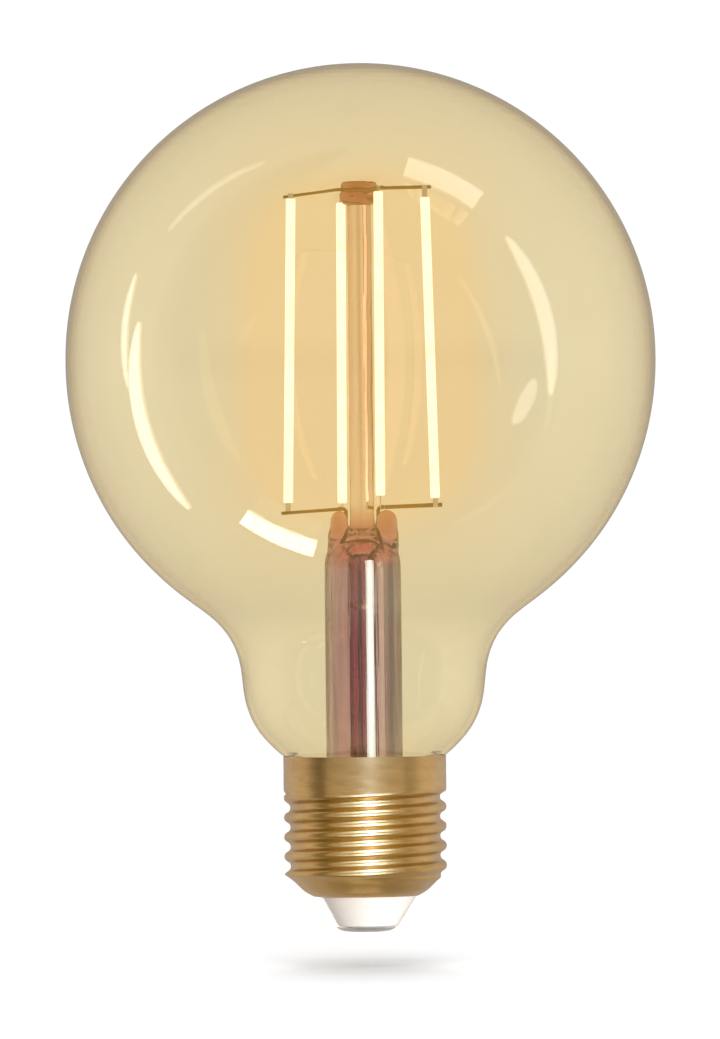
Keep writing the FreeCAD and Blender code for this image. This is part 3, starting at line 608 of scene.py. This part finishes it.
def button_profile():
    pts = [(0.0, 116.98), (1.0, 116.98), (1.92, 117.0), (2.3, 117.06), (2.6, 117.2),
           (2.8, 117.4), (2.93, 117.65), (3.0, 117.95), (3.05, 118.3), (3.05, 118.6),
           (2.99, 118.85), (2.92, 119.05), (2.88, 119.3), (2.88, 119.5), (2.9, 119.7),
           (2.92, 119.9), (2.92, 120.1), (2.88, 120.3), (2.8, 120.48), (2.62, 120.62),
           (2.4, 120.7), (2.0, 120.75), (1.6, 120.78), (0.8, 120.78), (0.0, 120.78)]
    return list(reversed(pts))


def button_ripple(a, z):
    k = max(0.0, min(1.0, (z - 117.1) / 0.6)) * max(0.0, min(1.0, (120.75 - z) / 0.5))
    return -k * (0.09 + 0.05 * math.sin(2 * a + 0.6 + 0.5 * z) + 0.04 * math.sin(5 * a + 1.7 * z))


button = piece(lathe("melted_button", button_profile(), 96, button_ripple), "rod_glass",
               "rod_glass", "centre_rod")


# ---------------------------------------------------------------- stage
def plane(name, size, z):
    me = bpy.data.meshes.new(name)
    h = size / 2
    me.from_pydata([(-h, -h, z), (h, -h, z), (h, h, z), (-h, h, z)], [], [(0, 1, 2, 3)])
    o = bpy.data.objects.new(name, me)
    scene.collection.objects.link(o)
    return o


FLOOR_Z = -0.0056
floor = plane("floor", 14.0, FLOOR_Z)
fm = Mat("floor")
fn = fm.noise(3.0, detail=2.0)
fm.link(fm.ramp(fn, [(0.3, (0.93, 0.93, 0.93)), (0.7, (0.95, 0.95, 0.95))]), fm.p.inputs["Base Color"])
fm.set(Roughness=0.9)
fm.p.inputs["Specular IOR Level"].default_value = 0.0
floor.data.materials.append(fm.m)
floor.visible_glossy = False
floor.visible_shadow = False
floor.visible_diffuse = False
floor.visible_transmission = False

world = bpy.data.worlds.new("studio")
scene.world = world
world.use_nodes = True
wn = world.node_tree
for n in list(wn.nodes):
    wn.nodes.remove(n)
wo = wn.nodes.new("ShaderNodeOutputWorld")
clear = wn.nodes.new("ShaderNodeBackground")
clear.inputs["Color"].default_value = (1, 1, 1, 1)
clear.inputs["Strength"].default_value = 1.04
room = wn.nodes.new("ShaderNodeBackground")
room.inputs["Strength"].default_value = 1.0
tc = wn.nodes.new("ShaderNodeTexCoord")
sep = wn.nodes.new("ShaderNodeSeparateXYZ")
wn.links.new(tc.outputs["Generated"], sep.inputs["Vector"])


def wmath(op, a, b=0.0, clamp=False):
    n = wn.nodes.new("ShaderNodeMath")
    n.operation = op
    n.use_clamp = clamp
    for i, v in enumerate((a, b)):
        if isinstance(v, (int, float)):
            n.inputs[i].default_value = v
        else:
            wn.links.new(v, n.inputs[i])
    return n.outputs[0]


def wramp(value, lo, hi, stops):
    mr = wn.nodes.new("ShaderNodeMapRange")
    mr.inputs["From Min"].default_value = lo
    mr.inputs["From Max"].default_value = hi
    wn.links.new(value, mr.inputs["Value"])
    r = wn.nodes.new("ShaderNodeValToRGB")
    r.color_ramp.interpolation = "EASE"
    e = r.color_ramp.elements
    while len(e) < len(stops):
        e.new(0.5)
    for el, (pos, v) in zip(e, stops):
        el.position = (pos - lo) / (hi - lo)
        el.color = (v, v, v, 1) if isinstance(v, (int, float)) else v + (1,)
    wn.links.new(mr.outputs["Result"], r.inputs["Fac"])
    return r.outputs["Color"]


# what shows in the gloss: dim toward the front, bright walls at the sides, a dark flag front left,
# a dim ground and a dimmer, warmer far wall that draws the rim of the globe
depth = wramp(sep.outputs["Y"], -1.0, 1.0, [(-1.0, 0.06), (-0.7, 0.14), (-0.35, 0.65), (-0.05, 1.15), (0.35, 1.2),
                                            (0.62, 1.03), (0.8, 0.88), (0.9, 0.71), (0.97, 0.55), (1.0, 0.46)])
height = wramp(sep.outputs["Z"], -1.0, 1.0, [(-1.0, 0.3), (-0.9, 0.42), (-0.7, 0.64), (-0.4, 0.88), (0.0, 1.0),
                                             (0.3, 0.92), (0.64, 0.78), (1.0, 0.6)])
toward = wmath("ADD", wmath("MULTIPLY", sep.outputs["X"], -0.915), wmath("MULTIPLY", sep.outputs["Y"], -0.403))
level = wmath("POWER", wmath("ADD", wmath("MULTIPLY", sep.outputs["X"], sep.outputs["X"]),
                             wmath("MULTIPLY", sep.outputs["Y"], sep.outputs["Y"])), 0.5)
flag = wramp(wmath("DIVIDE", toward, wmath("MAXIMUM", level, 0.05)), 0.8, 1.0, [(0.90, 1.0), (0.96, 0.6), (1.0, 0.36)])
shade = wmath("MULTIPLY", wmath("MULTIPLY", depth, height), flag)
wn.links.new(shade, room.inputs["Strength"])
hue = wramp(sep.outputs["Y"], -1.0, 1.0, [(-0.2, (0.97, 0.99, 1.0)), (0.6, (0.97, 0.99, 1.0)), (1.0, (1.0, 0.90, 0.74))])
wn.links.new(hue, room.inputs["Color"])
soft = wn.nodes.new("ShaderNodeBackground")
soft.inputs["Color"].default_value = (1, 1, 1, 1)
soft.inputs["Strength"].default_value = 0.24
lp = wn.nodes.new("ShaderNodeLightPath")
seen = wn.nodes.new("ShaderNodeMath")
seen.operation = "MAXIMUM"
wn.links.new(lp.outputs["Is Camera Ray"], seen.inputs[0])
wn.links.new(lp.outputs["Is Transmission Ray"], seen.inputs[1])
mirrored = wn.nodes.new("ShaderNodeMath")
mirrored.operation = "GREATER_THAN"
wn.links.new(lp.outputs["Glossy Depth"], mirrored.inputs[0])
mirrored.inputs[1].default_value = 0.5
mix1 = wn.nodes.new("ShaderNodeMixShader")
wn.links.new(seen.outputs[0], mix1.inputs["Fac"])
wn.links.new(soft.outputs["Background"], mix1.inputs[1])
wn.links.new(clear.outputs["Background"], mix1.inputs[2])
mix2 = wn.nodes.new("ShaderNodeMixShader")
wn.links.new(mirrored.outputs[0], mix2.inputs["Fac"])
wn.links.new(mix1.outputs["Shader"], mix2.inputs[1])
# a ray mirrored inside the glass that leaves downward meets the pale ground, without a hard horizon
down = wn.nodes.new("ShaderNodeMapRange")
for k, v in (("From Min", 0.0), ("From Max", -0.16), ("To Min", 0.0), ("To Max", 1.0)):
    down.inputs[k].default_value = v
wn.links.new(sep.outputs["Z"], down.inputs["Value"])
mix3 = wn.nodes.new("ShaderNodeMixShader")
wn.links.new(wmath("MULTIPLY", down.outputs["Result"], lp.outputs["Is Transmission Ray"]), mix3.inputs["Fac"])
wn.links.new(room.outputs["Background"], mix3.inputs[1])
wn.links.new(clear.outputs["Background"], mix3.inputs[2])
wn.links.new(mix3.outputs["Shader"], mix2.inputs[2])
wn.links.new(mix2.outputs["Shader"], wo.inputs["Surface"])


def lit_only(light, objs):
    col = bpy.data.collections.new(light.name + "_lit")
    for o in objs:
        col.objects.link(o)
    light.light_linking.receiver_collection = col


def strip(name, a, b, width, radiance, at, shape="RECTANGLE", color=(1, 1, 1), far=1.0, beyond=0.0, within=5000.0):
    """Area lamp with its long side from a to b, facing the point at (mm).

    far is its share by way of the far wall; it lights from beyond to within (mm) of itself.
    """
    a, b, at = (Vector(v) * MM for v in (a, b, at))
    mid = (a + b) / 2
    x = (b - a)
    length = x.length
    x.normalize()
    z = mid - at
    z = (z - x * z.dot(x)).normalized()
    y = z.cross(x)
    d = bpy.data.lights.new(name, "AREA")
    d.shape = shape
    d.size, d.size_y = length, width * MM
    d.color = color
    area = length * width * MM * (math.pi / 4 if shape == "ELLIPSE" else 1.0)
    d.energy = radiance * math.pi * area
    if far < 1.0 or beyond:
        d.use_nodes = True
        ln = d.node_tree
        glow = next(n for n in ln.nodes if n.type == "EMISSION")
        way = ln.nodes.new("ShaderNodeLightPath")
        fade = ln.nodes.new("ShaderNodeMapRange")
        for k, v in (("From Min", 2.4), ("From Max", 2.6), ("To Min", 1.0), ("To Max", far)):
            fade.inputs[k].default_value = v
        ln.links.new(way.outputs["Transmission Depth"], fade.inputs["Value"])
        reach = ln.nodes.new("ShaderNodeMapRange")
        for k, v in (("From Min", (beyond - 1.5) * MM), ("From Max", (beyond + 1.5) * MM)):
            reach.inputs[k].default_value = v
        ln.links.new(way.outputs["Ray Length"], reach.inputs["Value"])
        ends = ln.nodes.new("ShaderNodeMapRange")
        for k, v in (("From Min", (within - 1.5) * MM), ("From Max", (within + 1.5) * MM), ("To Min", 1.0), ("To Max", 0.0)):
            ends.inputs[k].default_value = v
        ln.links.new(way.outputs["Ray Length"], ends.inputs["Value"])
        both = ln.nodes.new("ShaderNodeMath")
        both.operation = "MULTIPLY"
        ln.links.new(fade.outputs["Result"], both.inputs[0])
        ln.links.new(reach.outputs["Result"], both.inputs[1])
        every = ln.nodes.new("ShaderNodeMath")
        every.operation = "MULTIPLY"
        ln.links.new(both.outputs[0], every.inputs[0])
        ln.links.new(ends.outputs["Result"], every.inputs[1])
        ln.links.new(every.outputs[0], glow.inputs["Strength"])
    o = bpy.data.objects.new(name, d)
    scene.collection.objects.link(o)
    o.matrix_world = Matrix(((x.x, y.x, z.x, mid.x), (x.y, y.y, z.y, mid.y),
                             (x.z, y.z, z.z, mid.z), (0, 0, 0, 1)))
    o.visible_camera = False
    return o


C = Vector((0, 0, 92.3))
glass_set = [globe]
cap_set = [NODES[n] for n in ("screw_shell", "cap_insulator", "centre_contact")]


def rel(x, up, cam):
    """A place given right, up and toward the front from the centre of the globe, mm."""
    return (x, -cam, C.z + up)


def shows_at(p):
    """The place on the front of the globe where the point p (mm) is mirrored toward the front."""
    p, n = Vector(p), Vector((0, -1, 0))
    for _ in range(60):
        n = ((p - C - n * 47.5).normalized() + Vector((0, -1, 0))).normalized()
    return C + n * 47.5


def nearer(p, share):
    """The point p brought toward the globe, still mirrored at the same place."""
    q = shows_at(p)
    return tuple(q + (Vector(p) - q) * share)


top = strip("top_box", rel(103.7, 416.9, 90), rel(261, 340.8, 90), 74, 3.1,
            rel(13.5, 28.5, 35.5), far=0.2)
lit_only(top, glass_set)
left1 = strip("left_strip", nearer(rel(-182, 31.6, 10.7), 0.33), nearer(rel(-102, -88.4, 14.2), 0.33), 6.6, 5.0,
              rel(-31, -10, 32), shape="ELLIPSE", far=0.25)
lit_only(left1, glass_set)
left2 = strip("left_strip_rear", rel(-178, 70, -20), rel(-182, -20, -7), 11, 3.5,
              rel(-36, 5, 29), shape="ELLIPSE", far=0.25)
lit_only(left2, glass_set)

LOW_A, LOW_B = Vector(rel(-103.7, -416.9, 90)), Vector(rel(-261, -340.8, 90))
for k in range(5):
    a, b = (LOW_A.lerp(LOW_B, (k + i) / 5.0) for i in (0, 1))
    m = (a + b) / 2
    away = (m - shows_at(m)).length
    low = strip("low_box_%d" % k, a, b, 62, 11.0, rel(-13.5, -28.5, 35.5), far=0.2,
                beyond=away - 3.4, within=away + 5.0)
    lit_only(low, glass_set)
right1 = strip("right_strip", rel(178, 146, 76), rel(232, -46, 68), 27, 3.1,
               rel(30, 8, 36), shape="ELLIPSE", far=0.25)
lit_only(right1, glass_set)
right2 = strip("right_strip_low", nearer(rel(222, -28, 100), 0.4), nearer(rel(196, -86, 116), 0.4), 12, 2.4,
               rel(27, -7, 38), shape="ELLIPSE", far=0.25)
lit_only(right2, glass_set)
arc1 = strip("upper_left_strip", rel(-234, 156, -20), rel(-120, 257, 17), 14, 1.4,
             rel(-22, 26, 31), shape="ELLIPSE", far=0.4)
lit_only(arc1, glass_set)

brass_set = [NODES["screw_shell"], NODES["centre_contact"]]
COOL = (0.27, 0.44, 1.0)
PALE = (0.34, 0.56, 1.0)
for name, z0, z1, x, width, power, tone in (
        ("cap_strip_high", 120, 900, 66, 140, 26.0, COOL), ("cap_strip_mid", -90, 120, 66, 140, 0.3, PALE),
        ("cap_strip_low", -600, -90, 66, 140, 23.0, COOL), ("cap_halo_high", 150, 900, 75, 500, 5.0, PALE),
        ("cap_halo_mid", -120, 150, 75, 500, 0.1, PALE), ("cap_halo_low", -600, -120, 75, 500, 4.6, PALE),
        ("cap_sheen_high", 170, 900, 20, 880, 2.2, PALE), ("cap_sheen_low", -600, -140, 20, 880, 2.2, PALE)):
    y = -500 - width / 40
    o = strip(name, (x, y, z0), (x, y, z1), width, power, (0, 0, 16), color=tone)
    lit_only(o, [NODES["screw_shell"]])
panel = strip("cap_panel", (0, -540, -500), (0, -540, 900), 1700, 0.62, (0, 0, 16))
lit_only(panel, brass_set)
under = strip("cap_under", (-60, 60, -300), (60, 60, -300), 120, 0.6, (0, 0, 6))
lit_only(under, [NODES["screw_shell"]])
sleeve_fill = strip("sleeve_fill", (0, -400, 10), (0, -400, 80), 100, 185.0, (0, 0, 45), color=(0.66, 0.9, 1.0))
lit_only(sleeve_fill, [NODES["lead_sleeves"]])
tab_fill = strip("tab_fill", (-30, -300, -300), (30, -300, -300), 100, 90.0, (0, 0, 95))
lit_only(tab_fill, [NODES["filament_tabs"]])
fill = strip("insulator_fill", (260, -420, -260), (260, -420, 60), 300, 10.0, (0, 0, 3))
lit_only(fill, [NODES["cap_insulator"]])
rear = strip("insulator_fill_rear", (-200, 420, -260), (-200, 420, 60), 300, 7.0, (0, 0, 3))
lit_only(rear, [NODES["cap_insulator"]])

# soft light from overhead, fanned front to back; only the cap shades the floor under it
for k, tilt in enumerate((-60, -32, 0, 32, 60)):
    d = bpy.data.lights.new("overhead_%d" % k, "SUN")
    d.energy = 0.544 / math.cos(math.radians(tilt))
    d.angle = math.radians(25)
    o = bpy.data.objects.new("overhead_%d" % k, d)
    scene.collection.objects.link(o)
    o.rotation_euler = (math.radians(tilt), 0, 0)
    lit_only(o, [floor, NODES["cap_insulator"], NODES["cap_cement"]])
for o in [globe, stem, tip, button] + [NODES[n] for n in NODES if n not in ("screw_shell", "cap_insulator", "centre_contact")]:
    o.visible_shadow = o is tip
    o.visible_diffuse = False
for n in ("left", "right", "back", "front"):
    NODES["filament_" + n].visible_glossy = False

# ---------------------------------------------------------------- camera
SCALE = 0.16100                 # mm in one pixel of the 720 x 1039 frame
W, H = 720, 1039
DIST = 2000.0
cam_data = bpy.data.cameras.new("camera")
cam = bpy.data.objects.new("camera", cam_data)
scene.collection.objects.link(cam)
scene.camera = cam
cam_data.sensor_fit = "AUTO"
cam_data.sensor_width = 36.0
cam_data.lens = 36.0 * DIST / (H * SCALE)
roll = math.radians(0.6)
# the picture's centre on the bulb: x at the lean of the axis, z from the bottom up
cz = (931.5 - H / 2) * SCALE
cx = (W / 2 - (365.1 + 0.01045 * (H / 2 - 800))) * SCALE
cam.location = (cx * MM, -DIST * MM, cz * MM)
cam.rotation_mode = "XYZ"
cam.rotation_euler = (math.radians(90), roll, 0)
cam_data.clip_start, cam_data.clip_end = 0.05, 60.0

scene.view_settings.view_transform = "Standard"
scene.view_settings.look = "None"
scene.view_settings.exposure = 0.0
scene.view_settings.gamma = 1.0

# warm bloom round the lit filaments
scene.use_nodes = True
ct = scene.node_tree
for n in list(ct.nodes):
    ct.nodes.remove(n)
layers = ct.nodes.new("CompositorNodeRLayers")
glare = ct.nodes.new("CompositorNodeGlare")
glare.glare_type = "BLOOM"
glare.quality = "HIGH"
glare.inputs["Threshold"].default_value = 1.55
glare.inputs["Smoothness"].default_value = 0.1
reach = ct.nodes.new("CompositorNodeRelativeToPixel")
reach.data_type = "VECTOR"
reach.reference_dimension = "X"
reach.inputs[0].default_value = (0.17, 0.17)
spread = ct.nodes.new("CompositorNodeBlur")
spread.filter_type = "GAUSS"
gain = ct.nodes.new("CompositorNodeMath")
gain.operation = "MULTIPLY"
gain.inputs[1].default_value = 5.0
cap = ct.nodes.new("CompositorNodeMath")
cap.operation = "MINIMUM"
cap.inputs[1].default_value = 0.24
warm = ct.nodes.new("CompositorNodeMixRGB")
warm.blend_type = "MIX"
warm.inputs[2].default_value = (1.15, 0.55, 0.02, 1.0)
comp = ct.nodes.new("CompositorNodeComposite")
ct.links.new(layers.outputs["Image"], glare.inputs["Image"])
ct.links.new(glare.outputs["Highlights"], spread.inputs["Image"])
ct.links.new(layers.outputs["Image"], reach.inputs["Image"])
ct.links.new(reach.outputs[1], spread.inputs["Size"])
ct.links.new(spread.outputs["Image"], gain.inputs[0])
ct.links.new(gain.outputs[0], cap.inputs[0])
ct.links.new(cap.outputs[0], warm.inputs[0])
ct.links.new(layers.outputs["Image"], warm.inputs[1])
ct.links.new(warm.outputs["Image"], comp.inputs["Image"])

cy = scene.cycles
cy.max_bounces = 40
cy.transmission_bounces = 36
cy.glossy_bounces = 12
cy.transparent_max_bounces = 24
cy.diffuse_bounces = 4
cy.sample_clamp_indirect = 6.0
cy.use_denoising = True
